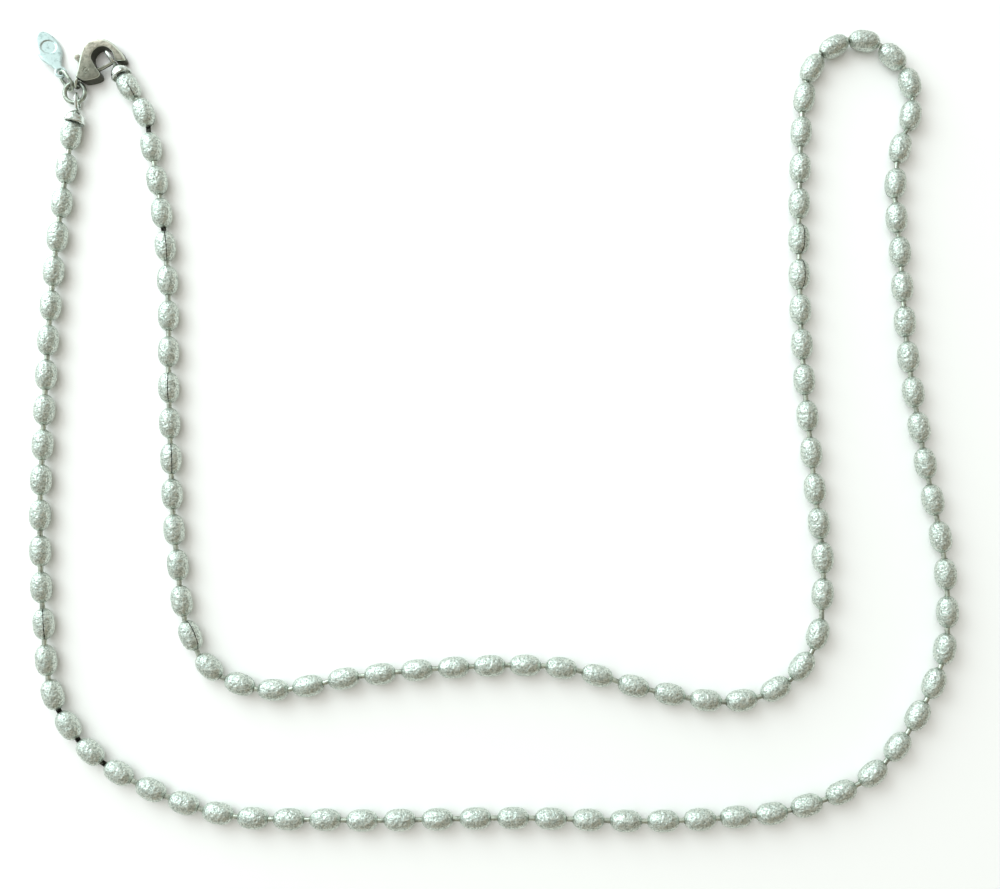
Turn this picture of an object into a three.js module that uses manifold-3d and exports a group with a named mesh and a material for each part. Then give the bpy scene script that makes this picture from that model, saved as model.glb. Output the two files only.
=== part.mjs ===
// Beaded necklace: oval silver beads on short rods, one long chain laid down in a doubled
// loop and fastened by a lobster clasp, with a small hanging tag on the jump ring.
// Millimetres, +Z up, the floor at z = 0, the origin under the middle of the whole necklace.
import * as THREE from "three";
import { mergeVertices } from "three/addons/utils/BufferGeometryUtils.js";
import Module from "manifold-3d";

// Beads and the rods that join them.
const BEAD_RADIUS = 1.9;
const BEAD_HALF_LENGTH = 2.6;
const BEAD_SIDES = 10;
const ROD_RADIUS = 0.5;
const ROD_STUB = 0.55;
const MEETING_GAP = 0.3;
const FIRST_BEAD_OF_INNER_STRAND = 61;
const LAST_BEAD = 115;

// End caps, each with an eyelet soldered to its top.
const CAP_RADIUS = 1.95;
const CAP_WALL = 0.33;
const CAP_HEIGHT = 2.4;
const CAP_SIDES = 10;
const CAP_FROM_BEAD = 2.3;
const EYELET_RADIUS = 1.5;
const EYELET_WIRE = 0.3;
const EYELET_REACH = 2.5;
const EYELET_DROP = 0.14;
const EYELET_ROLL = degrees(97);

// Lobster clasp, lying flat: a claw cut by a slot, a lever in the slot and its rivet.
const CLAW_THICKNESS = 2.6;
const CLAW_MIDDLE = new THREE.Vector2(-70.3, 66.9);
const OUTER_ROUNDING = 0.6;
const OUTER_FLAT = 1.1;
const INNER_ROUNDING = 0.12;
const SLOT_WIDTH = 1.0;
const LEVER_THICKNESS = 0.6;
const LEVER_PIVOT = new THREE.Vector2(-3.0, -2.4);
const HUB_RADIUS = 0.72;
const NUB_RADIUS = 0.6;
const NUB_MIDDLE = new THREE.Vector2(-2.1, 2.9);
const RIVET_RADIUS = 0.38;
const RIVET_CLEARANCE = 0.07;
const RIVET_SHORTFALL = 0.1;
const CLASP_EYE = new THREE.Vector2(-4.87, -4.38);
const CLASP_EYE_RADIUS = 0.9;
const CLASP_EYE_WIRE = 0.3;
const CLASP_EYE_HEADING = degrees(72);

// Jump ring, tag link and tag.
const JUMP_MIDDLE = new THREE.Vector3(-75.74, 60.67, 1.3);
const JUMP_RADIUS = 1.9;
const JUMP_WIRE = 0.4;
const LINK_MIDDLE = new THREE.Vector3(-77.35, 62.97, 1.3);
const LINK_RADIUS = 1.1;
const LINK_WIRE = 0.325;
const LINK_HALF_LENGTH = 1.93;
const LINK_HEADING = degrees(124.8);
const LINK_ROLL = degrees(-50);
const TAG_HOLE = new THREE.Vector3(-78.45, 64.55, 1.3);
const TAG_HOLE_RADIUS = 0.68;
const TAG_THICKNESS = 0.6;
const TAG_HEADING = degrees(117.5);
const TAG_PITCH = degrees(3.5);
const TAG_BANK = degrees(18);
const TAG_DIMPLE_RADIUS = 1.45;
const TAG_DIMPLE_DEPTH = 0.12;
const TAG_DIMPLE_FROM_HOLE = 5.6;

const WIRE_SIDES = 6;

// Where the chain lies: the middles of some beads, numbered from the left end cap, chosen
// by hand along the way the chain was laid down. Pitch runs from 5.6 mm where the chain is
// pushed together in its tightest turn to 6.7 mm where the rods are drawn right out.
const ROUTE = [
  // bead, x, y
  [0, -76, 52.5],
  [4, -78.5, 27],
  [8, -79.5, 1.5],
  [12, -79.5, -24],
  [14, -78.5, -37],
  [16, -76.5, -49.5],
  [18, -69.5, -59.5],
  [20, -58.5, -66],
  [22, -46.5, -70],
  [25, -27.5, -71],
  [30, 5.5, -70.5],
  [35, 38, -70.5],
  [38, 56.5, -68],
  [40, 68, -62.5],
  [42, 76, -52.5],
  [44, 81, -41],
  [46, 81.5, -28],
  [49, 78.5, -8.5],
  [52, 76, 10.5],
  [55, 75, 29.5],
  [57, 74.5, 42],
  [58, 75.5, 48.5],
  [59, 77.5, 54.5],
  [60, 77.5, 60.5],
  [61, 74.5, 65.5],
  [62, 69.5, 68.5],
  [63, 64, 67.5],
  [64, 60, 63.5],
  [65, 58.5, 58],
  [67, 57.5, 45],
  [70, 57, 25.5],
  [73, 57.5, 6.5],
  [76, 59, -13],
  [79, 60, -31.5],
  [80, 59, -38.5],
  [82, 51.5, -48],
  [83, 45.5, -50],
  [85, 33, -49],
  [88, 14, -44.5],
  [91, -5, -44.5],
  [94, -24.5, -46.5],
  [96, -37, -48.5],
  [97, -43, -47.5],
  [98, -48.5, -44.5],
  [99, -52, -39],
  [101, -54.5, -26.5],
  [105, -56.5, -1],
  [110, -58, 31.5],
  [113, -61, 50],
  [114, -62.5, 56.5],
  [115, -65.5, 61.5],
];

// Half of a bead's outline: distance from its middle, share of its greatest radius.
const BEAD_PROFILE = [
  { along: BEAD_HALF_LENGTH, share: ROD_RADIUS / BEAD_RADIUS },
  { along: 2.0, share: 0.76 },
  { along: 0.8, share: 1 },
];

const frostedSilver = new THREE.MeshStandardMaterial({ color: 0xb9c4b4, roughness: 0.5, metalness: 1 });
const polishedSilver = new THREE.MeshStandardMaterial({ color: 0xd8e0d8, roughness: 0.2, metalness: 1 });
const wornSilver = new THREE.MeshStandardMaterial({ color: 0x9aa08c, roughness: 0.35, metalness: 1 });

const wasm = await Module();
wasm.setup();

function degrees(angle) {
  return (angle * Math.PI) / 180;
}

// A closed three.js geometry as a manifold solid, its shared corners merged.
function toSolid(geometry) {
  const bare = geometry.clone();
  bare.deleteAttribute("normal");
  bare.deleteAttribute("uv");
  const merged = mergeVertices(bare, 1e-4);
  return new wasm.Manifold(new wasm.Mesh({
    numProp: 3,
    vertProperties: merged.attributes.position.array,
    triVerts: Uint32Array.from(merged.index.array),
  }));
}

// A manifold solid back as a three.js geometry.
function toGeometry(solid) {
  const mesh = solid.getMesh();
  const geometry = new THREE.BufferGeometry();
  geometry.setAttribute("position", new THREE.BufferAttribute(mesh.vertProperties, 3));
  geometry.setIndex(new THREE.BufferAttribute(mesh.triVerts, 1));
  return geometry;
}

function plate(outline, thickness) {
  const shape = new THREE.Shape(outline);
  const geometry = new THREE.ExtrudeGeometry(shape, { depth: thickness, bevelEnabled: false });
  return geometry.translate(0, 0, -thickness / 2);
}

// Points on an arc of a circle, both ends included, as a plain list.
function arc(middle, radius, from, to, steps) {
  return Array.from({ length: steps + 1 }, (_, step) => {
    const angle = from + ((to - from) * step) / steps;
    return new THREE.Vector2(
      middle.x + radius * Math.cos(angle),
      middle.y + radius * Math.sin(angle),
    );
  });
}

function points(rows) {
  return rows.map(([x, y]) => new THREE.Vector2(x, y));
}

// The middle of bead number n, on a Hermite curve through the rows of the route. The slope
// at a row is the mean of the slopes on its two sides, the shorter side counting for more.
function beadMiddle(number) {
  const last = ROUTE.length - 2;
  const found = ROUTE.findIndex((row, i) => i > last || number < ROUTE[i + 1][0]);
  const i = Math.min(found, last);
  const [startBead, startX, startY] = ROUTE[i];
  const [endBead, endX, endY] = ROUTE[i + 1];
  const run = endBead - startBead;
  const t = (number - startBead) / run;
  const startSlope = slopeAt(i).multiplyScalar(run);
  const endSlope = slopeAt(i + 1).multiplyScalar(run);
  return new THREE.Vector2(startX, startY)
    .multiplyScalar(2 * t ** 3 - 3 * t ** 2 + 1)
    .addScaledVector(startSlope, t ** 3 - 2 * t ** 2 + t)
    .addScaledVector(new THREE.Vector2(endX, endY), 3 * t ** 2 - 2 * t ** 3)
    .addScaledVector(endSlope, t ** 3 - t ** 2);
}

function slopeAt(row) {
  const before = legSlope(Math.max(row - 1, 0));
  const after = legSlope(Math.min(row, ROUTE.length - 2));
  const share = before.run / (before.run + after.run);
  return before.slope.lerp(after.slope, share);
}

function legSlope(row) {
  const [startBead, startX, startY] = ROUTE[row];
  const [endBead, endX, endY] = ROUTE[row + 1];
  const run = endBead - startBead;
  return { run, slope: new THREE.Vector2(endX - startX, endY - startY).divideScalar(run) };
}

// The way a bead points: from the bead before it to the bead after it.
function beadHeading(number) {
  const before = beadMiddle(Math.max(number - 1, 0));
  const after = beadMiddle(Math.min(number + 1, LAST_BEAD));
  return after.sub(before).angle();
}

// One strand of beads and rods as a single skin. Each bead is straight, with a flat facet
// on the floor, and a rod bridges from one bead's end ring to the next one's.
function strand(firstBead, lastBead, leadIn, leadOut) {
  const sections = [];
  for (let bead = firstBead; bead <= lastBead; bead += 1) {
    for (const { along, share } of BEAD_PROFILE) {
      sections.push({ bead, along: -along, radius: share * BEAD_RADIUS });
    }
    for (const { along, share } of [...BEAD_PROFILE].reverse()) {
      sections.push({ bead, along, radius: share * BEAD_RADIUS });
    }
  }
  sections.unshift({ bead: firstBead, along: -BEAD_HALF_LENGTH - leadIn, radius: ROD_RADIUS });
  sections.push({ bead: lastBead, along: BEAD_HALF_LENGTH + leadOut, radius: ROD_RADIUS });
  return new THREE.Mesh(skin(sections.map(beadRing)), frostedSilver);
}

// One ring of corners across a bead or rod, with a flat facet underneath.
function beadRing({ bead, along, radius }) {
  const facet = Math.PI / BEAD_SIDES;
  const middle = beadMiddle(bead);
  const heading = beadHeading(bead);
  return Array.from({ length: BEAD_SIDES }, (_, side) => {
    const angle = -Math.PI / 2 + facet * (2 * side + 1);
    const sideways = (radius / Math.cos(facet)) * Math.cos(angle);
    return new THREE.Vector3(
      middle.x + along * Math.cos(heading) - sideways * Math.sin(heading),
      middle.y + along * Math.sin(heading) + sideways * Math.cos(heading),
      BEAD_RADIUS + (radius / Math.cos(facet)) * Math.sin(angle),
    );
  });
}

// A closed skin over rings of corners, each ring joined to the next, with flat ends. The
// corners of a ring run anticlockwise as seen from the last ring.
function skin(rings) {
  const sides = rings[0].length;
  const triangles = [];
  for (let ring = 0; ring < rings.length - 1; ring += 1) {
    for (let side = 0; side < sides; side += 1) {
      const here = ring * sides + side;
      const beside = ring * sides + ((side + 1) % sides);
      triangles.push(here, beside, here + sides);
      triangles.push(beside, beside + sides, here + sides);
    }
  }
  const lastRing = (rings.length - 1) * sides;
  for (let side = 1; side < sides - 1; side += 1) {
    triangles.push(0, side + 1, side);
    triangles.push(lastRing, lastRing + side, lastRing + side + 1);
  }
  return new THREE.BufferGeometry().setFromPoints(rings.flat()).setIndex(triangles);
}

// A bell-shaped cap, open towards the bead, with its eyelet. The cap's axis is +X from the
// middle of its rim; the eyelet stands nearly upright and leans aside by the given angle.
function endCap(eyeletLean) {
  const inside = CAP_RADIUS - CAP_WALL;
  const profile = points([
    [0, CAP_HEIGHT - 0.85],
    [inside * 0.75, CAP_HEIGHT - 1.05],
    [inside, CAP_HEIGHT - 1.8],
    [inside, 0],
    [CAP_RADIUS, 0],
    [CAP_RADIUS, 0.5],
    [CAP_RADIUS * 0.85, 1.4],
    [CAP_RADIUS * 0.42, CAP_HEIGHT - 0.1],
    [0, CAP_HEIGHT],
  ]);
  const overCorners = 1 / Math.cos(Math.PI / CAP_SIDES);
  const bell = new THREE.LatheGeometry(profile, CAP_SIDES, Math.PI / CAP_SIDES)
    .scale(overCorners, 1, overCorners)
    .rotateZ(-Math.PI / 2);
  const neckLength = EYELET_REACH - CAP_HEIGHT + 0.4;
  const neck = new THREE.CylinderGeometry(0.36, 0.42, neckLength, 6)
    .rotateZ(-Math.PI / 2)
    .translate(EYELET_REACH - neckLength / 2, 0, -EYELET_DROP / 2);
  const eyelet = new THREE.TorusGeometry(EYELET_RADIUS, EYELET_WIRE, WIRE_SIDES, 12)
    .rotateX(EYELET_ROLL)
    .translate(EYELET_RADIUS, 0, 0)
    .rotateZ(eyeletLean)
    .translate(EYELET_REACH, 0, -EYELET_DROP);
  const whole = toSolid(bell).add(toSolid(neck)).add(toSolid(eyelet));
  return new THREE.Mesh(toGeometry(whole), polishedSilver);
}

// Puts a cap over the outer end of a bead. The cap points along the given heading.
function placeCap(cap, bead, heading) {
  const middle = beadMiddle(bead);
  cap.position.set(
    middle.x + CAP_FROM_BEAD * Math.cos(heading),
    middle.y + CAP_FROM_BEAD * Math.sin(heading),
    CAP_RADIUS,
  );
  cap.rotation.z = heading;
  return cap;
}

// The claw's two edges, drawn from the middle of its hole: from the tip of the curved arm,
// over the top and down the wedge to its narrow end.
const CLAW_EDGES = [
  // outer x, y, inner x, y
  [4.1, -0.75, 2.5, -0.8],
  [4.25, -0.3, 2.3, -0.4],
  [3.8, 0.6, 2.1, 0.2],
  [2.85, 1.75, 1.75, 1.05],
  [1.75, 2.8, 1.05, 1.72],
  [0.4, 3.55, 0.3, 2.05],
  [-1.2, 3.65, -0.6, 2.02],
  [-2.6, 3.25, -1.35, 1.62],
  [-3.6, 2.35, -1.85, 1.0],
  [-4.2, 0.9, -2.1, 0.0],
  [-4.55, -0.8, -1.5, -1.35],
  [-4.75, -1.9, -0.85, -2.35],
  [-4.85, -2.4, -0.4, -3.0],
  [-4.92, -2.7, -0.55, -3.65],
  [-5.04, -3.3, -3.3, -4.4],
  [-5.1, -3.55, -4.0, -3.98],
];

// One section of the claw: crisp at the rim of the hole, well rounded on the outside.
function clawSection([outerX, outerY, innerX, innerY]) {
  const outer = new THREE.Vector2(outerX, outerY);
  const inner = new THREE.Vector2(innerX, innerY);
  const across = outer.clone().sub(inner).normalize();
  const innerFlat = inner.clone().addScaledVector(across, INNER_ROUNDING);
  const outerFlat = outer.clone().addScaledVector(across, -OUTER_ROUNDING);
  const top = CLAW_THICKNESS / 2;
  return [
    [outer, OUTER_FLAT / 2],
    [outer, -OUTER_FLAT / 2],
    [outerFlat, -top],
    [innerFlat, -top],
    [inner, INNER_ROUNDING - top],
    [inner, top - INNER_ROUNDING],
    [innerFlat, top],
    [outerFlat, top],
  ].map(([place, height]) => new THREE.Vector3(place.x, place.y, height));
}

// The claw: a wedge-shaped body and a curved arm round the hole, slotted for the lever,
// with an upright eye on its narrow end.
function clawBody() {
  const body = skin(CLAW_EDGES.map(clawSection));
  const slot = points([
    [-4.2, 2.2], [-1.05, 0.05], [-0.85, -0.4], [-0.5, -0.78], [0, -0.9], [0.5, -0.8],
    [2.3, -0.05], [3.4, 0.2], [3.4, 2.1], [2.1, 1.6], [0.65, 0.8], [0.2, 0.85],
    [-1.9, 3.8], [-4.2, 3.8],
  ]).map((corner) => corner.add(LEVER_PIVOT));
  const bore = rivetGeometry(RIVET_RADIUS + RIVET_CLEARANCE, CLAW_THICKNESS + 1)
    .translate(LEVER_PIVOT.x, LEVER_PIVOT.y, 0);
  const eye = new THREE.TorusGeometry(CLASP_EYE_RADIUS, CLASP_EYE_WIRE, WIRE_SIDES, 10)
    .rotateX(Math.PI / 2)
    .rotateZ(CLASP_EYE_HEADING)
    .translate(CLASP_EYE.x, CLASP_EYE.y, 0);
  const whole = toSolid(body)
    .subtract(toSolid(plate(slot, SLOT_WIDTH)))
    .subtract(toSolid(bore))
    .add(toSolid(eye));
  return new THREE.Mesh(toGeometry(whole), wornSilver);
}

function rivetGeometry(radius, length) {
  return new THREE.CylinderGeometry(radius, radius, length, 12).rotateX(Math.PI / 2);
}

// The lever: a hub on the rivet, a gate that closes the claw and a thumb nub that stands
// out past the spine. Drawn from the rivet.
function clawLever() {
  const hub = new THREE.Vector2(0, 0);
  const outline = [
    ...points([[2.5, 0.36], [5.0, 1.78], [4.84, 2.27], [2.3, 0.98], [0.6, 0.45], [0.1, 0.58]]),
    ...arc(NUB_MIDDLE, NUB_RADIUS, degrees(-10), degrees(262), 7),
    ...arc(hub, HUB_RADIUS, degrees(172), degrees(275), 4),
  ];
  const bore = rivetGeometry(RIVET_RADIUS + RIVET_CLEARANCE, LEVER_THICKNESS + 1);
  const whole = toSolid(plate(outline, LEVER_THICKNESS)).subtract(toSolid(bore));
  return new THREE.Mesh(toGeometry(whole), wornSilver);
}

function rivet() {
  const length = CLAW_THICKNESS - 2 * RIVET_SHORTFALL;
  return new THREE.Mesh(rivetGeometry(RIVET_RADIUS, length), wornSilver);
}

function jumpRing() {
  const ring = new THREE.TorusGeometry(JUMP_RADIUS, JUMP_WIRE, WIRE_SIDES, 12);
  return new THREE.Mesh(toGeometry(toSolid(ring)), polishedSilver);
}

// An oval link is a round ring whose two halves are pulled apart along X.
function tagLink() {
  const turns = 12;
  const ring = new THREE.TorusGeometry(LINK_RADIUS, LINK_WIRE, WIRE_SIDES, turns)
    .rotateZ(Math.PI / turns);
  const corners = ring.attributes.position;
  const pull = LINK_HALF_LENGTH - LINK_RADIUS;
  for (let i = 0; i < corners.count; i += 1) {
    corners.setX(i, corners.getX(i) + Math.sign(corners.getX(i)) * pull);
  }
  return new THREE.Mesh(toGeometry(toSolid(ring)), polishedSilver);
}

// The tag: a leaf-shaped plate with a bare round dimple, narrowing to a neck with a hole. It
// is cut by hand and a little fuller on its left side.
// Drawn from the middle of the hole, pointing along +X.
function tag() {
  const hole = new THREE.Vector2(0, 0);
  const edge = points([
    [1.0, -0.62], [2.2, -1.05], [3.6, -1.85], [5.1, -2.1], [6.6, -1.9], [7.9, -1.35], [8.8, -0.6],
    [8.9, 0.7], [8.0, 1.5], [6.6, 2.05], [5.1, 2.3], [3.6, 2.15], [2.2, 1.45], [1.0, 0.75],
  ]);
  const outline = [...edge, ...arc(hole, 1.05, degrees(50), degrees(310), 7)];
  const bore = new THREE.CylinderGeometry(TAG_HOLE_RADIUS, TAG_HOLE_RADIUS, 2, 10)
    .rotateX(Math.PI / 2);
  const dimple = new THREE.CylinderGeometry(TAG_DIMPLE_RADIUS, TAG_DIMPLE_RADIUS, 1, 14)
    .rotateX(Math.PI / 2)
    .translate(TAG_DIMPLE_FROM_HOLE, 0, TAG_THICKNESS / 2 + 0.5 - TAG_DIMPLE_DEPTH);
  const whole = toSolid(plate(outline, TAG_THICKNESS))
    .subtract(toSolid(bore))
    .subtract(toSolid(dimple));
  return new THREE.Mesh(toGeometry(whole), polishedSilver);
}

function named(mesh, name) {
  mesh.name = name;
  return mesh;
}

const necklace = new THREE.Group();

// The chain is cut once, inside the rod before the inner strand's first bead.
const lastOuter = FIRST_BEAD_OF_INNER_STRAND - 1;
const meetingPitch = beadMiddle(lastOuter).distanceTo(beadMiddle(FIRST_BEAD_OF_INNER_STRAND));
const meetingRod = meetingPitch - 2 * BEAD_HALF_LENGTH - MEETING_GAP;
necklace.add(named(strand(0, lastOuter, ROD_STUB, meetingRod), "outer_strand"));
necklace.add(named(strand(FIRST_BEAD_OF_INNER_STRAND, LAST_BEAD, 0, ROD_STUB), "inner_strand"));

necklace.add(named(placeCap(endCap(degrees(19)), 0, degrees(76)), "left_end_cap"));
necklace.add(named(placeCap(endCap(degrees(4)), LAST_BEAD, degrees(122)), "right_end_cap"));

const clasp = new THREE.Group();
clasp.position.set(CLAW_MIDDLE.x, CLAW_MIDDLE.y, CLAW_THICKNESS / 2);
clasp.add(named(clawBody(), "clasp_claw"));
const lever = named(clawLever(), "clasp_lever");
lever.position.set(LEVER_PIVOT.x, LEVER_PIVOT.y, 0);
clasp.add(lever);
const leverRivet = named(rivet(), "clasp_rivet");
leverRivet.position.copy(lever.position);
clasp.add(leverRivet);
necklace.add(clasp);

const ring = named(jumpRing(), "jump_ring");
ring.position.copy(JUMP_MIDDLE);
necklace.add(ring);

const link = named(tagLink(), "tag_link");
link.position.copy(LINK_MIDDLE);
link.rotation.set(LINK_ROLL, 0, LINK_HEADING, "ZYX");
necklace.add(link);

const hangingTag = named(tag(), "tag");
hangingTag.position.copy(TAG_HOLE);
hangingTag.rotation.set(TAG_BANK, TAG_PITCH, TAG_HEADING, "ZYX");
necklace.add(hangingTag);

export default necklace;
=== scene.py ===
import bpy
import numpy as np
from mathutils import Matrix, Vector


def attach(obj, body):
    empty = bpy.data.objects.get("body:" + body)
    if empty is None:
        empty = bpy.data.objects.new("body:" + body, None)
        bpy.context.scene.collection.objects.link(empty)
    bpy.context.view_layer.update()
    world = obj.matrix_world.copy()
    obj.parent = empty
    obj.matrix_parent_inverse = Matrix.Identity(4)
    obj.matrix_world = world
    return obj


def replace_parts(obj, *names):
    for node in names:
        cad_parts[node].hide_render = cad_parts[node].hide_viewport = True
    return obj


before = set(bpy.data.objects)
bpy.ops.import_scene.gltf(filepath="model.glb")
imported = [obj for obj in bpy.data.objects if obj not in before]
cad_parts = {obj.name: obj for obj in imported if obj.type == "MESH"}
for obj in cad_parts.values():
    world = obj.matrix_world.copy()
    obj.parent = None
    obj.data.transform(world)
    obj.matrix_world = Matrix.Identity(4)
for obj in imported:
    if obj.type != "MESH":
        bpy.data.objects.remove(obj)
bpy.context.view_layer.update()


# The camera stands almost straight above the necklace, tipped a few degrees towards the
# viewer, with a normal lens.
CAMERA_PLACE = Vector((9.5, -21.1, 216.0))
LOOKED_AT = Vector((3.15, -4.85, 0.0))
CAMERA_LENS = 43.2

camera_data = bpy.data.cameras.new("overhead_camera")
camera_data.lens = CAMERA_LENS
camera_data.clip_start = 0.01
camera = bpy.data.objects.new("overhead_camera", camera_data)
camera_back = (CAMERA_PLACE - LOOKED_AT).normalized()
camera_right = Vector((0, 1, 0)).cross(camera_back).normalized()
camera_up = camera_back.cross(camera_right)
camera_turn = Matrix((camera_right, camera_up, camera_back)).transposed().to_4x4()
camera.matrix_world = Matrix.Translation(CAMERA_PLACE / 1000) @ camera_turn
bpy.context.scene.collection.objects.link(camera)
bpy.context.scene.camera = camera


# The floor is a sheet of matt white card, far larger than the necklace. It shows the soft
# shadows and gives the silver something pale to mirror from below.
FLOOR_SIZE = 6000.0


def linear(hex_colour):
    """Linear red, green, blue and alpha of an sRGB hex colour: each channel c becomes
    c / 12.92 up to 0.04045 and ((c + 0.055) / 1.055) to the power 2.4 above it."""
    channels = np.array([int(hex_colour[i:i + 2], 16) / 255 for i in (1, 3, 5)])
    low, high = channels / 12.92, ((channels + 0.055) / 1.055) ** 2.4
    return (*np.where(channels <= 0.04045, low, high), 1.0)


def add_node(tree, kind, sockets=None, **settings):
    """Adds one shader node. Settings are its own properties by name. Each socket, by name
    or number, is given a plain value or another node's output to be linked to it."""
    node = tree.nodes.new(kind)
    for name, value in settings.items():
        setattr(node, name, value)
    for name, value in (sockets or {}).items():
        if isinstance(value, bpy.types.NodeSocket):
            tree.links.new(value, node.inputs[name])
        else:
            node.inputs[name].default_value = value
    return node


def new_material(name):
    """A new material whose node tree is empty, and that tree."""
    material = bpy.data.materials.new(name)
    material.use_nodes = True
    material.node_tree.nodes.clear()
    return material, material.node_tree


# Matt card: paper pulp, pressed smooth and unglazed, so it has no gloss and no pattern.
white_card, tree = new_material("matt_white_card")
card = add_node(tree, "ShaderNodeBsdfDiffuse", {"Color": linear("#fafaf9")})
add_node(tree, "ShaderNodeOutputMaterial", {"Surface": card.outputs[0]})

half = FLOOR_SIZE / 2000
floor_mesh = bpy.data.meshes.new("card_floor")
floor_mesh.from_pydata([(-half, -half, 0), (half, -half, 0), (half, half, 0), (-half, half, 0)],
                       [], [(0, 1, 2, 3)])
floor_mesh.materials.append(white_card)
floor = bpy.data.objects.new("card_floor", floor_mesh)
bpy.context.scene.collection.objects.link(floor)


# The light: a low softbox like a window on the upper left, a room that fades from pale on
# that side to a warm grey on the other, and a wide panel overhead that whitens the floor
# and is kept out of the silver's reflections.
bpy.context.scene.view_settings.view_transform = "Standard"
SOFTBOXES = [
    # name, colour, watts, side of the square in mm, place, shows in the silver
    ("window_softbox", "#e9fbff", 2.7, 600, (-400, 390, 290), True),
    ("ceiling_panel", "#ffffff", 1.6, 700, (-260, 240, 560), False),
]
for name, colour, watts, side, place, shows in SOFTBOXES:
    softbox_data = bpy.data.lights.new(name, "AREA")
    softbox_data.color = linear(colour)[:3]
    softbox_data.energy = watts
    softbox_data.size = side / 1000
    softbox = bpy.data.objects.new(name, softbox_data)
    softbox.location = Vector(place) / 1000
    softbox.rotation_euler = (-Vector(place)).to_track_quat("-Z", "Y").to_euler()
    softbox.visible_glossy = shows
    bpy.context.scene.collection.objects.link(softbox)

ROOM_WINDOW_SIDE = (-0.66, 0.66, 0.35)
room = bpy.data.worlds.new("studio_room")
room.use_nodes = True
tree = room.node_tree
tree.nodes.clear()
direction = add_node(tree, "ShaderNodeTexCoord").outputs["Generated"]
facing = add_node(tree, "ShaderNodeVectorMath", {0: direction, 1: ROOM_WINDOW_SIDE},
                  operation="DOT_PRODUCT").outputs["Value"]
brightness = add_node(tree, "ShaderNodeMapRange",
                      {"Value": facing, "From Min": -0.6, "From Max": 1.0}).outputs["Result"]
room_colour = add_node(tree, "ShaderNodeMix",
                       {0: brightness, 6: linear("#877a66"), 7: linear("#f4fbfa")},
                       data_type="RGBA").outputs[2]
background = add_node(tree, "ShaderNodeBackground", {"Color": room_colour, "Strength": 1.15})
add_node(tree, "ShaderNodeOutputWorld", {"Surface": background.outputs[0]})
bpy.context.scene.world = room


# The beads: thin hollow ovals pressed from silver sheet, hammered all over and frosted, with
# one soldered seam along each. They are threaded in a long row and lie with the crown up.
# The row is cut once, between the two strands.
BEAD_RADIUS = 1.9
BEAD_HALF_LENGTH = 2.8
BEAD_END_ANGLE = 0.39 * np.pi
POWER_ALONG, POWER_ACROSS = 2.5, 2.1
BEAD_RINGS = 27
BEAD_SIDES = 36
DENT_DEPTH = 0.05
LAST_BEAD = 115
FIRST_INNER_BEAD = 61
# Beads whose seam shows: number, whole tens of degrees from the left side over the top, and
# the stretch along the bead where the seam is open.
OPEN_SEAMS = [
    (14, 70, -3, 3), (69, 70, -3, 3), (70, 70, -3, 3), (99, 130, -3, 3), (104, 110, -3, 3),
    (106, 100, -3, 3), (110, 110, -3, 3), (115, 100, -3, 0.2),
]

# Where the middles of some beads lie: bead number, x, y.
ROUTE = np.array([
    (0, -76, 52.5), (4, -78.5, 27), (8, -79.5, 1.5), (12, -79.5, -24), (14, -78.5, -37),
    (16, -76.5, -49.5), (18, -69.5, -59.5), (20, -58.5, -66), (22, -46.5, -70),
    (25, -27.5, -71), (30, 5.5, -70.5), (35, 38, -70.5), (38, 56.5, -68), (40, 68, -62.5),
    (42, 76, -52.5), (44, 81, -41), (46, 81.5, -28), (49, 78.5, -8.5), (52, 76, 10.5),
    (55, 75, 29.5), (57, 74.5, 42), (58, 75.5, 48.5), (59, 77.5, 54.5), (60, 77.5, 60.5),
    (61, 74.5, 65.5), (62, 69.5, 68.5), (63, 64, 67.5), (64, 60, 63.5), (65, 58.5, 58),
    (67, 57.5, 45), (70, 57, 25.5), (73, 57.5, 6.5), (76, 59, -13), (79, 60, -31.5),
    (80, 59, -38.5), (82, 51.5, -48), (83, 45.5, -50), (85, 33, -49), (88, 14, -44.5),
    (91, -5, -44.5), (94, -24.5, -46.5), (96, -37, -48.5), (97, -43, -47.5),
    (98, -48.5, -44.5), (99, -52, -39), (101, -54.5, -26.5), (105, -56.5, -1),
    (110, -58, 31.5), (113, -61, 50), (114, -62.5, 56.5), (115, -65.5, 61.5),
])


def curve_through(rows, at):
    """A smooth curve through rows of (parameter, values...), read off at many parameters.
    Between two rows it is a Hermite cubic. The slope at a row is the mean of the slopes of
    the legs on its two sides, the shorter leg counting for more."""
    stop, place = rows[:, 0], rows[:, 1:]
    run = np.diff(stop)[:, None]
    leg_slope = np.diff(place, axis=0) / run
    share = run[:-1] / (run[:-1] + run[1:])
    inner_slope = leg_slope[:-1] * (1 - share) + leg_slope[1:] * share
    slope = np.vstack([leg_slope[:1], inner_slope, leg_slope[-1:]])
    leg = np.clip(np.searchsorted(stop, at, side="right") - 1, 0, len(run) - 1)
    t = (at - stop[leg])[:, None] / run[leg]
    return ((2 * t**3 - 3 * t**2 + 1) * place[leg] + (3 * t**2 - 2 * t**3) * place[leg + 1]
            + run[leg] * ((t**3 - 2 * t**2 + t) * slope[leg] + (t**3 - t**2) * slope[leg + 1]))


def bead_frames(numbers):
    """Middle, forward and left directions of beads, by number. A bead points from the bead
    before it to the bead after it, and its middle is one radius above the floor."""
    middle = curve_through(ROUTE, numbers)
    before = curve_through(ROUTE, np.maximum(numbers - 1, 0))
    after = curve_through(ROUTE, np.minimum(numbers + 1, LAST_BEAD))
    forward = (after - before) / np.linalg.norm(after - before, axis=1)[:, None]
    flat = np.zeros(len(numbers))
    left = np.column_stack([-forward[:, 1], forward[:, 0], flat])
    return (np.column_stack([middle, flat + BEAD_RADIUS]),
            np.column_stack([forward, flat]), left)


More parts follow.
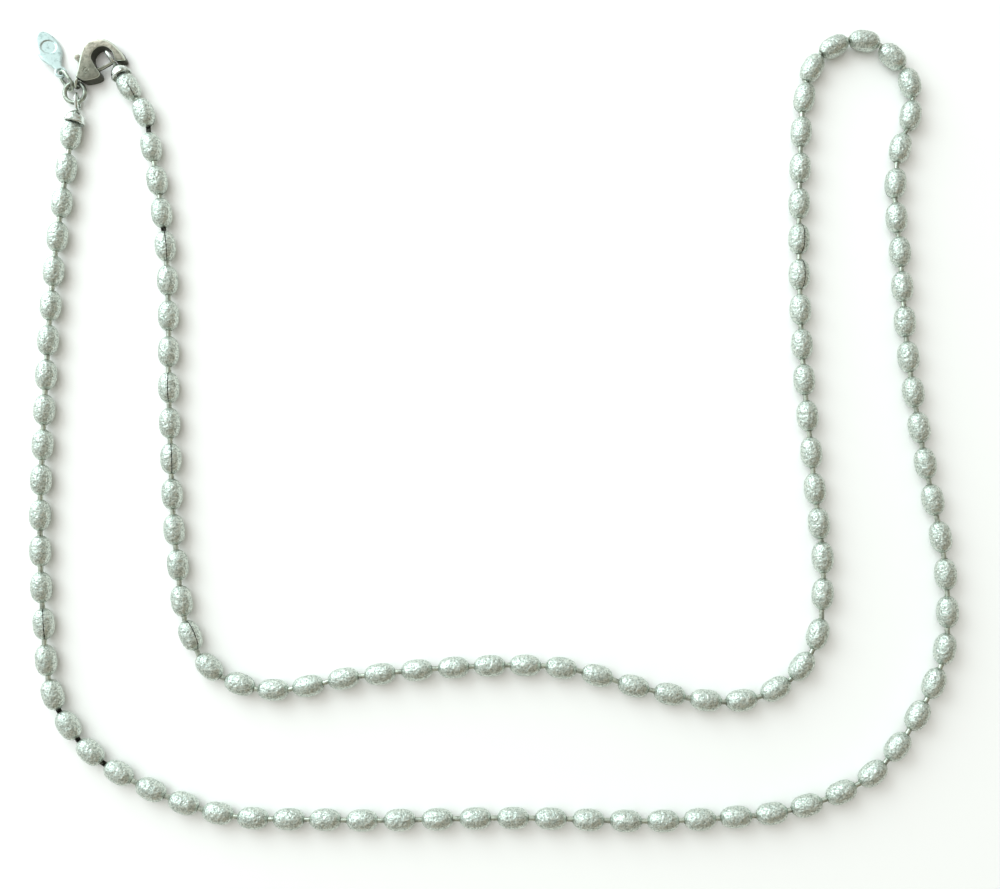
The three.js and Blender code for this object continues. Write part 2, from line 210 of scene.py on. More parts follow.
def along_beads(numbers, distance, radius, turn):
    """Points round the axes of beads: middle + forward x distance + radius x (left x cos of
    turn + up x sin of turn). The last three are arrays of beads x rings x sides."""
    middle, forward, left = (v[:, None, None, :] for v in bead_frames(numbers))
    up = np.array([0, 0, 1.0])
    radius, turn = radius[..., None], turn[..., None]
    off_axis = left * np.cos(turn) + up * np.sin(turn)
    return middle + forward * distance[..., None] + radius * off_axis


def shell(rings, comes_round=False):
    """Points and faces of skins over rings of points, an array of skins x rings x sides x 3.
    Each ring is joined to the next by quads. The first and last ring are closed by a flat
    face each, or joined to each other where the skin comes round to its own start."""
    skins, count, sides, _ = rings.shape
    index = np.arange(skins * count * sides).reshape(skins, count, sides)
    here = index if comes_round else index[:, :-1]
    ahead = np.roll(index, -1, axis=1) if comes_round else index[:, 1:]
    beside, beside_ahead = np.roll(here, -1, axis=2), np.roll(ahead, -1, axis=2)
    faces = np.stack([here, beside, beside_ahead, ahead], axis=-1).reshape(-1, 4).tolist()
    if not comes_round:
        faces += index[:, 0, ::-1].tolist() + index[:, -1].tolist()
    return rings.reshape(-1, 3), faces


def make_piece(name, shells, material, attributes=None):
    """One smooth mesh object from shells of points and faces in millimetres, with a number
    at each point for each named attribute."""
    starts = np.cumsum([0] + [len(points) for points, _ in shells])
    faces = [[corner + start for corner in face]
             for start, (_, shell_faces) in zip(starts, shells) for face in shell_faces]
    mesh = bpy.data.meshes.new(name)
    mesh.from_pydata(np.vstack([points for points, _ in shells]) / 1000, [], faces)
    mesh.polygons.foreach_set("use_smooth", np.ones(len(faces), bool))
    mesh.set_sharp_from_angle(angle=np.radians(50))
    mesh.materials.append(material)
    for attribute, values in (attributes or {}).items():
        mesh.attributes.new(attribute, "FLOAT", "POINT").data.foreach_set("value", values.ravel())
    piece = bpy.data.objects.new(name, mesh)
    bpy.context.scene.collection.objects.link(piece)
    return piece


# Hammered silver: sterling sheet struck with a pitted hammer and frosted in acid, so it is
# a pale grey with a green cast, glinting on its high spots and tarnished in its pits.
SILVER = "#ccd6ce"
SILVER_GLINT = "#f4f8ee"
SILVER_TARNISH = "#43473b"
HAMMER_MARK = 0.62
FROST_GRAIN = 0.3
SEAM_WIDTH = 0.07

hammered_silver, tree = new_material("hammered_sterling_silver")
place = add_node(tree, "ShaderNodeTexCoord").outputs["Object"]
marks = add_node(tree, "ShaderNodeTexVoronoi", {"Vector": place, "Scale": 1000 / HAMMER_MARK},
                 feature="SMOOTH_F1").outputs["Distance"]
# Real frost is finer than this; it is drawn coarse enough to show.
frost = add_node(tree, "ShaderNodeTexNoise", {"Vector": place, "Scale": 1000 / FROST_GRAIN,
                                              "Detail": 1.0, "Roughness": 0.5}).outputs[0]
high_spots = add_node(tree, "ShaderNodeMapRange",
                      {"Value": frost, "From Min": 0.5, "From Max": 0.64,
                       "To Max": 0.55}).outputs["Result"]
glinting = add_node(tree, "ShaderNodeMix",
                    {0: high_spots, 6: linear(SILVER), 7: linear(SILVER_GLINT)},
                    data_type="RGBA").outputs[2]
pits = add_node(tree, "ShaderNodeMapRange", {"Value": frost, "From Min": 0.46, "From Max": 0.34,
                                             "To Max": 0.36}).outputs["Result"]
pitted = add_node(tree, "ShaderNodeMix", {0: pits, 6: glinting, 7: linear(SILVER_TARNISH)},
                  data_type="RGBA").outputs[2]
seam_distance = add_node(tree, "ShaderNodeAttribute", attribute_name="from_seam").outputs["Fac"]
ragged = add_node(tree, "ShaderNodeMath", {0: frost, 1: 0.12, 2: -0.06},
                  operation="MULTIPLY_ADD").outputs[0]
ragged_distance = add_node(tree, "ShaderNodeMath", {0: seam_distance, 1: ragged},
                           operation="ADD").outputs[0]
seam = add_node(tree, "ShaderNodeMapRange", {"Value": ragged_distance, "From Min": SEAM_WIDTH * 1.6,
                                             "From Max": SEAM_WIDTH * 0.6}).outputs["Result"]
colour = add_node(tree, "ShaderNodeMix", {0: seam, 6: pitted, 7: linear("#23241f")},
                  data_type="RGBA").outputs[2]
roughness = add_node(tree, "ShaderNodeMapRange",
                     {"Value": frost, "From Min": 0.35, "From Max": 0.65,
                      "To Min": 0.58, "To Max": 0.38}).outputs["Result"]
hammered = add_node(tree, "ShaderNodeBump", {"Height": marks, "Distance": 0.0003,
                                             "Strength": 0.6}).outputs[0]
grain = add_node(tree, "ShaderNodeBump", {"Height": frost, "Distance": 0.00014, "Strength": 0.8,
                                          "Normal": hammered}).outputs[0]
silver = add_node(tree, "ShaderNodeBsdfPrincipled", {"Base Color": colour, "Metallic": 1.0,
                                                     "Roughness": roughness, "Normal": grain})
add_node(tree, "ShaderNodeOutputMaterial", {"Surface": silver.outputs[0]})


def hammered_beads(name, first, last, seed):
    """Beads from first to last. The outline is a superellipse, (distance / half length) to
    the power 2.5 plus (radius / greatest radius) to the power 2.1 = 1, taken in equal steps
    of its angle and cut off flat near its ends, where the holes for the rods are. Each point
    is then dented by smoothed noise of a fixed seed. The attribute is the way round from the
    seam in millimetres, and a millimetre more where the seam is closed."""
    numbers = np.arange(first, last + 1)
    shape = (len(numbers), BEAD_RINGS, BEAD_SIDES)
    angle = np.linspace(-BEAD_END_ANGLE, BEAD_END_ANGLE, BEAD_RINGS)[None, :, None]
    distance = np.sign(angle) * np.abs(np.sin(angle)) ** (2 / POWER_ALONG) * BEAD_HALF_LENGTH
    noise = np.random.default_rng(seed)
    dents = noise.normal(size=shape)
    for axis in (1, 2):
        dents = (np.roll(dents, 1, axis) + 2 * dents + np.roll(dents, -1, axis)) / 4
    radius = (BEAD_RADIUS - DENT_DEPTH * np.abs(dents)) * np.cos(angle) ** (2 / POWER_ACROSS)
    turn = np.broadcast_to(np.arange(BEAD_SIDES) * 2 * np.pi / BEAD_SIDES, shape)
    points = along_beads(numbers, np.broadcast_to(distance, shape), radius, turn)
    seam_turn = noise.integers(BEAD_SIDES // 2, BEAD_SIDES, len(numbers)) * 2 * np.pi / BEAD_SIDES
    closed = np.zeros(shape, bool)
    for bead, degrees, first_open, last_open in OPEN_SEAMS:
        if first <= bead <= last:
            seam_turn[bead - first] = np.radians(degrees)
            closed[bead - first] = (distance[0] < first_open) | (distance[0] > last_open)
    turn_away = np.abs((turn - seam_turn[:, None, None] + np.pi) % (2 * np.pi) - np.pi)
    from_seam = turn_away * radius + closed
    beads = make_piece(name, [shell(points)], hammered_silver, {"from_seam": from_seam})
    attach(beads, "necklace")
    return beads


outer_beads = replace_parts(hammered_beads("outer_beads", 0, FIRST_INNER_BEAD - 1, 5),
                          "outer_strand")
inner_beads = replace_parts(hammered_beads("inner_beads", FIRST_INNER_BEAD, LAST_BEAD, 8),
                          "inner_strand")


# The rods: short lengths of drawn silver wire that run from each bead into the next, with a
# small turned collar against each bead's end. Five of them are tarnished nearly black.
ROD_RADIUS = 0.46
ROD_END = 2.4
ROD_RINGS = 4
COLLAR_RADIUS = 0.66
COLLAR_START = 2.56
COLLAR_LENGTH = 0.2
COLLAR_RINGS = 7
ROD_SIDES = 16
COLLAR_TARNISH = 0.25
TARNISHED_RODS = [16, 17, 18, 110, 113]
BLACK_TARNISH = 0.85

# Drawn wire: silver pulled through a die, smooth and bright, that goes brown and then black
# where it is never rubbed. How tarnished each length is comes from an attribute.
drawn_silver, tree = new_material("drawn_silver_wire")
place = add_node(tree, "ShaderNodeTexCoord").outputs["Object"]
tarnish = add_node(tree, "ShaderNodeAttribute", attribute_name="tarnish").outputs["Fac"]
blotches = add_node(tree, "ShaderNodeTexNoise", {"Vector": place, "Scale": 1000 / 0.7,
                                                 "Detail": 3.0}).outputs[0]
dirty = add_node(tree, "ShaderNodeMapRange", {"Value": blotches, "From Min": 0.42, "From Max": 0.62,
                                              "To Max": 0.45}).outputs["Result"]
uneven = add_node(tree, "ShaderNodeMath", {0: tarnish, 1: dirty}, operation="ADD",
                  use_clamp=True).outputs[0]
colour = add_node(tree, "ShaderNodeMix", {0: uneven, 6: linear("#c3cbbd"), 7: linear("#1d1c18")},
                  data_type="RGBA").outputs[2]
roughness = add_node(tree, "ShaderNodeMapRange", {"Value": uneven, "To Min": 0.24,
                                                  "To Max": 0.6}).outputs["Result"]
silver = add_node(tree, "ShaderNodeBsdfPrincipled", {"Base Color": colour, "Metallic": 1.0,
                                                     "Roughness": roughness})
add_node(tree, "ShaderNodeOutputMaterial", {"Surface": silver.outputs[0]})


def rods_and_collars(name, first, last, bridges):
    """The collars at both ends of beads first to last, and the rods that leave the bridged
    beads for the next ones. A collar is a bead-like ring: its radius swells and falls as the
    sine of the way along it, to the power 0.6. A rod is a straight tube between two beads'
    end points."""
    numbers = np.arange(first, last + 1)
    way = np.linspace(0, 1, COLLAR_RINGS)[None, :, None]
    turn = (np.arange(ROD_SIDES) * 2 * np.pi / ROD_SIDES)[None, None, :]
    shape = (len(numbers), COLLAR_RINGS, ROD_SIDES)
    swell = ROD_RADIUS + (COLLAR_RADIUS - ROD_RADIUS) * np.sin(np.pi * way) ** 0.6
    swell = np.broadcast_to(swell, shape)
    turns = np.broadcast_to(turn, shape)
    ahead = np.broadcast_to(COLLAR_START + COLLAR_LENGTH * way, shape)
    behind = np.broadcast_to(-COLLAR_START - COLLAR_LENGTH * (1 - way), shape)
    collars = np.concatenate([along_beads(numbers, ahead, swell, turns),
                              along_beads(numbers, behind, swell, turns)])
    middle, forward, left = bead_frames(bridges)
    next_middle, next_forward, next_left = bead_frames(bridges + 1)
    start = (middle + forward * ROD_END)[:, None, None, :]
    end = (next_middle - next_forward * ROD_END)[:, None, None, :]
    side = (left + next_left)[:, None, None, :] / 2
    way, turn = np.linspace(0, 1, ROD_RINGS)[None, :, None, None], turn[..., None]
    rods = (start + (end - start) * way
            + ROD_RADIUS * (side * np.cos(turn) + np.array([0, 0, 1.0]) * np.sin(turn)))
    collar_tarnish = np.full(collars.shape[:3], COLLAR_TARNISH).ravel()
    rod_tarnish = np.isin(bridges, TARNISHED_RODS) * BLACK_TARNISH
    tarnish = np.concatenate([collar_tarnish, np.repeat(rod_tarnish, ROD_RINGS * ROD_SIDES)])
    rods = make_piece(name, [shell(collars), shell(rods)], drawn_silver, {"tarnish": tarnish})
    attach(rods, "necklace")
    return rods


outer_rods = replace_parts(rods_and_collars("outer_rods", 0, FIRST_INNER_BEAD - 1,
                                          np.arange(0, FIRST_INNER_BEAD)), "outer_strand")
inner_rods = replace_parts(rods_and_collars("inner_rods", FIRST_INNER_BEAD, LAST_BEAD,
                                          np.arange(FIRST_INNER_BEAD, LAST_BEAD)), "inner_strand")


# The end caps: bells spun from silver sheet over each end of the row, polished, with a
# rolled rim, a short neck and a wire eyelet soldered to its top.
CAP_RADIUS = 1.95
CAP_FROM_BEAD = 2.3
CAP_RINGS, CAP_SIDES = 60, 48
EYELET_RADIUS = 1.5
EYELET_WIRE = 0.3
EYELET_REACH = 2.5
EYELET_DROP = 0.14
EYELET_ROLL = 97
# From the crown inside, down to the rim and up to the neck outside: step, distance, radius.
CAP_PROFILE = np.array([
    (0, 1.5, 0.1), (1, 1.3, 1.1), (2, 0.7, 1.55), (3, 0.1, 1.66), (3.6, 0.0, 1.8),
    (4.2, 0.12, 1.95), (5, 0.42, 1.92), (5.6, 0.55, 1.78), (6.6, 1.2, 1.62),
    (7.6, 1.85, 1.1), (8.4, 2.2, 0.62), (9, 2.42, 0.42), (9.5, 2.5, 0.1),
])

# Polished silver: buffed bright and then handled, so it mirrors softly, with faint brown
# tarnish that gathers in patches.
polished_silver, tree = new_material("polished_sterling_silver")
place = add_node(tree, "ShaderNodeTexCoord").outputs["Object"]
patches = add_node(tree, "ShaderNodeTexNoise", {"Vector": place, "Scale": 1000 / 1.3,
                                                "Detail": 4.0, "Roughness": 0.6}).outputs[0]
tarnished = add_node(tree, "ShaderNodeMapRange", {"Value": patches, "From Min": 0.5,
                                                  "From Max": 0.68}).outputs["Result"]
colour = add_node(tree, "ShaderNodeMix", {0: tarnished, 6: linear("#e6ede8"), 7: linear("#8a9184")},
                  data_type="RGBA").outputs[2]
roughness = add_node(tree, "ShaderNodeMapRange",
                     {"Value": patches, "From Min": 0.4, "From Max": 0.7,
                      "To Min": 0.16, "To Max": 0.34}).outputs["Result"]
handled = add_node(tree, "ShaderNodeBump", {"Height": patches, "Distance": 0.00025,
                                            "Strength": 0.35}).outputs[0]
silver = add_node(tree, "ShaderNodeBsdfPrincipled", {"Base Color": colour, "Metallic": 1.0,
                                                     "Roughness": roughness, "Normal": handled})
add_node(tree, "ShaderNodeOutputMaterial", {"Surface": silver.outputs[0]})


def turned(points, x=0.0, y=0.0, z=0.0):
    """Points turned by degrees about X, then about Y, then about Z."""
    turn = (Matrix.Rotation(np.radians(z), 3, "Z") @ Matrix.Rotation(np.radians(y), 3, "Y")
            @ Matrix.Rotation(np.radians(x), 3, "X"))
    return points @ np.array(turn).T


WIRE_STATIONS = 64
WIRE_SIDES = 16


def wire_loop(radius, wire, stretch=0.0, first=0.0, last=360.0):
    """Rings of points of a wire bent round in the XY plane: a circle of the given radius,
    its two halves moved apart along X by the stretch. Round the wire, a point is wire x
    (inwards x cos + up x sin) from the wire's middle."""
    degrees = np.linspace(first, last, WIRE_STATIONS, endpoint=last - first < 360.0)
    way = np.radians(degrees)[None, :, None, None]
    turn = (np.arange(WIRE_SIDES) * 2 * np.pi / WIRE_SIDES)[None, None, :, None]
    out = np.concatenate([np.cos(way), np.sin(way), 0 * way], axis=-1)
    pull = np.concatenate([np.sign(np.round(np.cos(way), 9)) * stretch, 0 * way, 0 * way], axis=-1)
    up = np.array([0, 0, 1.0])
    return radius * out + pull + wire * (-out * np.cos(turn) + up * np.sin(turn))


def end_cap(name, bead, heading, eyelet_lean):
    """A cap on a bead: the profile carried once round X, a neck, and an eyelet that stands
    nearly upright and leans aside. All are turned to the heading and moved over the bead."""
    profile = curve_through(CAP_PROFILE, np.linspace(0, CAP_PROFILE[-1, 0], CAP_RINGS))
    turn = (np.arange(CAP_SIDES) * 2 * np.pi / CAP_SIDES)[None, :]
    distance, radius = profile[:, :1], profile[:, 1:]
    bell = np.stack([distance + 0 * turn, radius * np.cos(turn), radius * np.sin(turn)], axis=-1)
    eyelet = turned(wire_loop(EYELET_RADIUS, EYELET_WIRE), x=EYELET_ROLL) + (EYELET_RADIUS, 0, 0)
    eyelet = turned(eyelet, z=eyelet_lean) + (EYELET_REACH, 0, -EYELET_DROP)
    middle = bead_frames(np.array([bead]))[0][0] + (0, 0, CAP_RADIUS - BEAD_RADIUS)
    forward = np.array([np.cos(np.radians(heading)), np.sin(np.radians(heading)), 0])
    shells = [(turned(points, z=heading) + middle + CAP_FROM_BEAD * forward, faces)
              for points, faces in (shell(bell[None]), shell(eyelet, comes_round=True))]
    cap = make_piece(name, shells, polished_silver)
    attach(cap, "necklace")
    return cap


left_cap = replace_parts(end_cap("left_bell_cap", 0, 76, 19), "left_end_cap")
right_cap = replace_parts(end_cap("right_bell_cap", LAST_BEAD, 122, 4), "right_end_cap")


# The claw of the lobster clasp: cast silver, a flat wedge that runs into a curved arm, with
# a slot through its middle for the lever and an upright eye on its narrow end.
CLAW_MIDDLE = (-70.3, 66.9, 1.3)
CLAW_HALF_THICKNESS = 1.3
OUTER_ROUNDING = (0.6, 0.75)
INNER_ROUNDING = (0.2, 0.2)
LEVER_PIVOT = (-3.0, -2.4, 0.0)
SLOT_HALF_WIDTH = 0.5
RIVET_SEAT_RADIUS = 0.5
RIVET_SEAT_DEPTH = 0.12
CLASP_EYE = (-4.87, -4.38, 0.0)
CLASP_EYE_RADIUS = 0.9
CLASP_EYE_WIRE = 0.3
CLASP_EYE_HEADING = 72
# From the arm's tip to the narrow end: step, outer edge x and y, inner edge x and y.
CLAW_EDGES = np.array([
    (0, 4.1, -0.75, 2.5, -0.8), (1, 4.25, -0.3, 2.3, -0.4), (2, 3.8, 0.6, 2.1, 0.2),
    (4, 2.85, 1.75, 1.75, 1.05), (6, 1.75, 2.8, 1.05, 1.72), (8, 0.4, 3.55, 0.3, 2.05),
    (10, -1.2, 3.65, -0.6, 2.02), (12, -2.6, 3.25, -1.35, 1.62), (13.5, -3.6, 2.35, -1.85, 1.0),
    (15.2, -4.2, 0.9, -2.1, 0.0), (16.9, -4.55, -0.8, -1.5, -1.35),
    (18.2, -4.75, -1.9, -0.85, -2.35), (18.9, -4.85, -2.4, -0.4, -3.0),
    (19.5, -4.92, -2.7, -0.55, -3.65), (20.8, -5.04, -3.3, -3.3, -4.4),
    (21.6, -5.1, -3.55, -4.0, -3.98),
])
SLOT_OUTLINE = np.array([
    (-4.2, 2.2), (-1.05, 0.05), (-0.85, -0.4), (-0.5, -0.78), (0, -0.9), (0.5, -0.8),
    (2.3, -0.05), (3.4, 0.2), (3.4, 2.1), (2.1, 1.6), (0.65, 0.8), (0.2, 0.85),
    (-1.9, 3.8), (-4.2, 3.8),
])

# Cast silver: poured rough and tumbled, then worn, so it is grey with a green cast on its
# flats. Its colour grows lighter as Y rises, towards the arm. Its rounded edges carry a
# painted highlight and its upright walls painted shade, both set by the way the surface faces.
# The two values are where the lightening starts and ends, along Y.
CAST_GREY_BELOW = 65.5
CAST_BRIGHT_ABOVE = 70.0
cast_silver, tree = new_material("cast_sterling_silver")
place = add_node(tree, "ShaderNodeTexCoord").outputs["Object"]
casting = add_node(tree, "ShaderNodeTexNoise",
                   {"Vector": place, "Scale": 1000 / 0.6, "Detail": 5.0,
                    "Roughness": 0.7}).outputs[0]
low_spots = add_node(tree, "ShaderNodeMapRange",
                     {"Value": casting, "From Min": 0.56, "From Max": 0.38,
                      "To Max": 0.6}).outputs["Result"]
across_claw = add_node(tree, "ShaderNodeSeparateXYZ", {"Vector": place}).outputs["Y"]
# The colour grows lighter as Y rises, towards the arm.
lighter_along_y = add_node(tree, "ShaderNodeMapRange",
                      {"Value": across_claw, "From Min": CAST_GREY_BELOW / 1000,
                       "From Max": CAST_BRIGHT_ABOVE / 1000}).outputs["Result"]
cast_grey = add_node(tree, "ShaderNodeMix",
                     {0: lighter_along_y, 6: linear("#747165"), 7: linear("#aea596")},
                     data_type="RGBA").outputs[2]
flats = add_node(tree, "ShaderNodeMix", {0: low_spots, 6: cast_grey, 7: linear("#54564b")},
                 data_type="RGBA").outputs[2]
normal = add_node(tree, "ShaderNodeNewGeometry").outputs["Normal"]
slope = add_node(tree, "ShaderNodeSeparateXYZ", {"Vector": normal}).outputs["Z"]
# Painted highlight: the colour lightens where the surface tilts away from flat, as on the rounded
# edges.
painted_edge_highlight_mask = add_node(tree, "ShaderNodeMapRange", {"Value": slope, "From Min": 0.98,
                                                 "From Max": 0.88}).outputs["Result"]
with_painted_edge_highlight = add_node(tree, "ShaderNodeMix", {0: painted_edge_highlight_mask, 6: flats, 7: linear("#d3d8ca")},
                  data_type="RGBA").outputs[2]
# Painted shade: the colour darkens on upright walls and on surfaces that face down.
painted_wall_shade_mask = add_node(tree, "ShaderNodeMapRange", {"Value": slope, "From Min": 0.45,
                                                "From Max": 0.2}).outputs["Result"]
colour = add_node(tree, "ShaderNodeMix", {0: painted_wall_shade_mask, 6: with_painted_edge_highlight, 7: linear("#4b4d42")},
                  data_type="RGBA").outputs[2]
roughness = add_node(tree, "ShaderNodeMapRange",
                     {"Value": casting, "From Min": 0.35, "From Max": 0.65,
                      "To Min": 0.5, "To Max": 0.28}).outputs["Result"]
pitted = add_node(tree, "ShaderNodeBump", {"Height": casting, "Distance": 0.00007,
                                           "Strength": 0.5}).outputs[0]
silver = add_node(tree, "ShaderNodeBsdfPrincipled", {"Base Color": colour, "Metallic": 1.0,
                                                     "Roughness": roughness, "Normal": pitted})
add_node(tree, "ShaderNodeOutputMaterial", {"Surface": silver.outputs[0]})


def rounded_bar(edges, half_thickness, stations, sides=24, squareness=4.0, end_round=26):
    """Rings of points of a bar between two edges, given as rows of (step, right edge x and
    y, left edge x and y). A section is a superellipse of the given squareness between the
    edges. Its size falls to nothing at both ends as (1 - |w| to the power end_round) to the
    power 0.4, where w runs from -1 to 1 along the bar."""
    w = np.sin(np.linspace(-np.pi / 2, np.pi / 2, stations))
    w = 0.35 * w + 0.65 * np.linspace(-1, 1, stations)
    step = edges[0, 0] + (edges[-1, 0] - edges[0, 0]) * (w + 1) / 2
    at_step = curve_through(edges, step)
    right, left = at_step[:, 0:2], at_step[:, 2:4]
    fullness = np.maximum((1 - np.abs(w) ** end_round), 1e-4)[:, None] ** 0.4
    turn = (np.arange(sides) * 2 * np.pi / sides)[None, :]
    across = np.sign(np.cos(turn)) * np.abs(np.cos(turn)) ** (2 / squareness) * fullness
    upward = np.sign(np.sin(turn)) * np.abs(np.sin(turn)) ** (2 / squareness) * fullness
    middle, half_width = (left + right) / 2, (left - right) / 2
    flat = middle[:, None, :] + half_width[:, None, :] * across[..., None]
    return np.concatenate([flat, (half_thickness * upward)[..., None]], axis=-1)[None]


def disc(radius, half_thickness, sides=32, edge=0.08):
    """Rings of points of a flat round disc about Z with rounded edges: flat circles that
    widen over the edge's height as a quarter circle does, and close again at the top."""
    fall = np.radians(np.array([0, 30, 60, 90]))
    radii = np.concatenate([[0.02], radius - edge + edge * np.sin(fall),
                            radius - edge + edge * np.sin(fall[::-1]), [0.02]])
    low = -half_thickness + edge - edge * np.cos(fall)
    heights = np.concatenate([[-half_thickness], low, -low[::-1], [half_thickness]])
    turn = (np.arange(sides) * 2 * np.pi / sides)[None, :]
    ring = np.stack([radii[:, None] * np.cos(turn), radii[:, None] * np.sin(turn),
                     heights[:, None] + 0 * turn], axis=-1)
    return ring[None]


def claw_rings(stations=150):
    """Rings of points of the claw. A section is a rectangle between the outer and the inner
    edge whose four corners are quarter ellipses, wide ones outside and small ones inside.
    Its size falls at both ends as (1 - |w| to the power 60) to the power 0.4, where w runs
    from -1 to 1 along the claw."""
    w = np.linspace(-1, 1, stations)
    step = CLAW_EDGES[0, 0] + (CLAW_EDGES[-1, 0] - CLAW_EDGES[0, 0]) * (w + 1) / 2
    at_step = curve_through(CLAW_EDGES, step)
    outer, inner = at_step[:, 0:2], at_step[:, 2:4]
    width = np.linalg.norm(inner - outer, axis=1)[:, None]
    fall = np.radians(np.linspace(0, 90, 7))[None, :]
    from_outer = OUTER_ROUNDING[0] * (1 - np.cos(fall)) + 0 * width
    outer_height = CLAW_HALF_THICKNESS - OUTER_ROUNDING[1] * (1 - np.sin(fall)) + 0 * width
    from_inner = width - INNER_ROUNDING[0] * (1 - np.cos(fall))
    inner_height = CLAW_HALF_THICKNESS - INNER_ROUNDING[1] * (1 - np.sin(fall)) + 0 * width
    inward = np.hstack([from_outer, from_inner[:, ::-1], from_inner, from_outer[:, ::-1]]) / width
    height = np.hstack([outer_height, inner_height[:, ::-1], -inner_height, -outer_height[:, ::-1]])
    fullness = np.maximum(1 - np.abs(w) ** 60, 1e-4)[:, None] ** 0.4
    share = (0.5 + (inward - 0.5) * fullness)[..., None]
    flat = outer[:, None] * (1 - share) + inner[:, None] * share
    return np.concatenate([flat, (height * fullness)[..., None]], axis=-1)[None]


# The slot and the two seats round the rivet's ends are cut from the body at once.
claw_body = claw_rings()[:, ::-1] + CLAW_MIDDLE
claw = make_piece("claw_body", [shell(claw_body)], cast_silver)
slot_ends = np.array([-SLOT_HALF_WIDTH, SLOT_HALF_WIDTH])[:, None, None]
slot_flat = SLOT_OUTLINE[None]
slot_rings = np.concatenate([slot_flat + 0 * slot_ends, slot_ends + 0 * slot_flat[..., :1]],
                            axis=-1)[None] + LEVER_PIVOT + CLAW_MIDDLE
rivet_seats = [shell(disc(RIVET_SEAT_RADIUS, RIVET_SEAT_DEPTH) + LEVER_PIVOT + CLAW_MIDDLE
                     + (0, 0, side))
               for side in (-CLAW_HALF_THICKNESS, CLAW_HALF_THICKNESS)]
cutter = make_piece("slot_cutter", [shell(slot_rings), *rivet_seats], cast_silver)
cut = claw.modifiers.new("slot", "BOOLEAN")
cut.object = cutter
cut_claw = claw.evaluated_get(bpy.context.evaluated_depsgraph_get())
cut_mesh = bpy.data.meshes.new_from_object(cut_claw)
cut_mesh.set_sharp_from_angle(angle=np.radians(40))
claw.modifiers.clear()
claw.data = cut_mesh
bpy.data.objects.remove(cutter)
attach(claw, "necklace")
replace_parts(claw, "clasp_claw")

eye_loop = turned(wire_loop(CLASP_EYE_RADIUS, CLASP_EYE_WIRE), x=90, z=CLASP_EYE_HEADING)
eye_shell = shell(eye_loop + CLASP_EYE + CLAW_MIDDLE, comes_round=True)
clasp_eye = make_piece("clasp_eye", [eye_shell], cast_silver)
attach(clasp_eye, "necklace")
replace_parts(clasp_eye, "clasp_claw")


# The lever: a flat cast piece that turns on the rivet in the claw's slot. One arm is the
# gate that closes the claw, the other ends in the nub that the thumb pulls.
LEVER_HALF_THICKNESS = 0.3
HUB_RADIUS = 0.72
NUB_RADIUS = 0.6
NUB_MIDDLE = (-2.1, 2.9, 0.0)
# From the rivet outwards: step, right edge x and y, left edge x and y.
GATE_EDGES = np.array([(0, 0.1, -0.7, -0.2, 0.25), (1, 2.5, 0.36, 2.28, 0.98),
                       (2, 5.0, 1.8, 4.85, 2.27)])
NUB_ARM_EDGES = np.array([(0, 0.5, 0.4, -0.6, -0.3), (1, -0.7, 2.0, -1.6, 1.35),
                          (2, -1.7, 3.25, -2.5, 2.55)])

lever_place = np.array(LEVER_PIVOT) + CLAW_MIDDLE
lever_shells = [
    shell(rounded_bar(GATE_EDGES, LEVER_HALF_THICKNESS, 40) + lever_place),
    shell(rounded_bar(NUB_ARM_EDGES, LEVER_HALF_THICKNESS, 30) + lever_place),
    shell(disc(HUB_RADIUS, LEVER_HALF_THICKNESS) + lever_place),
    shell(disc(NUB_RADIUS, LEVER_HALF_THICKNESS, edge=0.2) + NUB_MIDDLE + lever_place),
]
lever = make_piece("thumb_lever", lever_shells, cast_silver)
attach(lever, "lever")
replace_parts(lever, "clasp_lever")


# The rivet: a short silver pin through the claw and the lever, its ends hammered over in
# their seats. It takes the claw's cast silver: grey at this low Y, with painted shade on its
# upright sides.
RIVET_RADIUS = 0.38
RIVET_HALF_LENGTH = 1.25
rivet_rings = disc(RIVET_RADIUS, RIVET_HALF_LENGTH, edge=0.1) + lever_place
rivet = make_piece("lever_rivet", [shell(rivet_rings)], cast_silver)
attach(rivet, "necklace")
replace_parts(rivet, "clasp_rivet")


# The jump ring: a length of round silver wire bent to a circle, its cut ends closed up. It
# holds the left cap's eyelet, the clasp's eye and the tag's link.
JUMP_MIDDLE = (-75.74, 60.67, 1.3)
JUMP_RADIUS = 1.9
JUMP_WIRE = 0.4
JUMP_CUT = 205
RING_TARNISH = 0.12

jump_loop = turned(wire_loop(JUMP_RADIUS, JUMP_WIRE, first=1.0, last=359.0), z=JUMP_CUT)
jump_ring = make_piece("jump_ring_wire", [shell(jump_loop + JUMP_MIDDLE)], drawn_silver,
                       {"tarnish": np.full(WIRE_STATIONS * WIRE_SIDES, RING_TARNISH)})
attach(jump_ring, "necklace")
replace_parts(jump_ring, "jump_ring")


# The tag's link: an oval of the same kind of wire, soldered shut, that joins the tag to the
# jump ring.
LINK_MIDDLE = (-77.35, 62.97, 1.3)
LINK_RADIUS = 1.1
LINK_WIRE = 0.325
LINK_STRETCH = 0.83
LINK_HEADING = 124.8
LINK_ROLL = -50

link_loop = turned(wire_loop(LINK_RADIUS, LINK_WIRE, LINK_STRETCH), x=LINK_ROLL, z=LINK_HEADING)
tag_link = make_piece("oval_link_wire", [shell(link_loop + LINK_MIDDLE, comes_round=True)],
                      drawn_silver,
                      {"tarnish": np.full(WIRE_STATIONS * WIRE_SIDES, RING_TARNISH)})
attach(tag_link, "necklace")
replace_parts(tag_link, "tag_link")


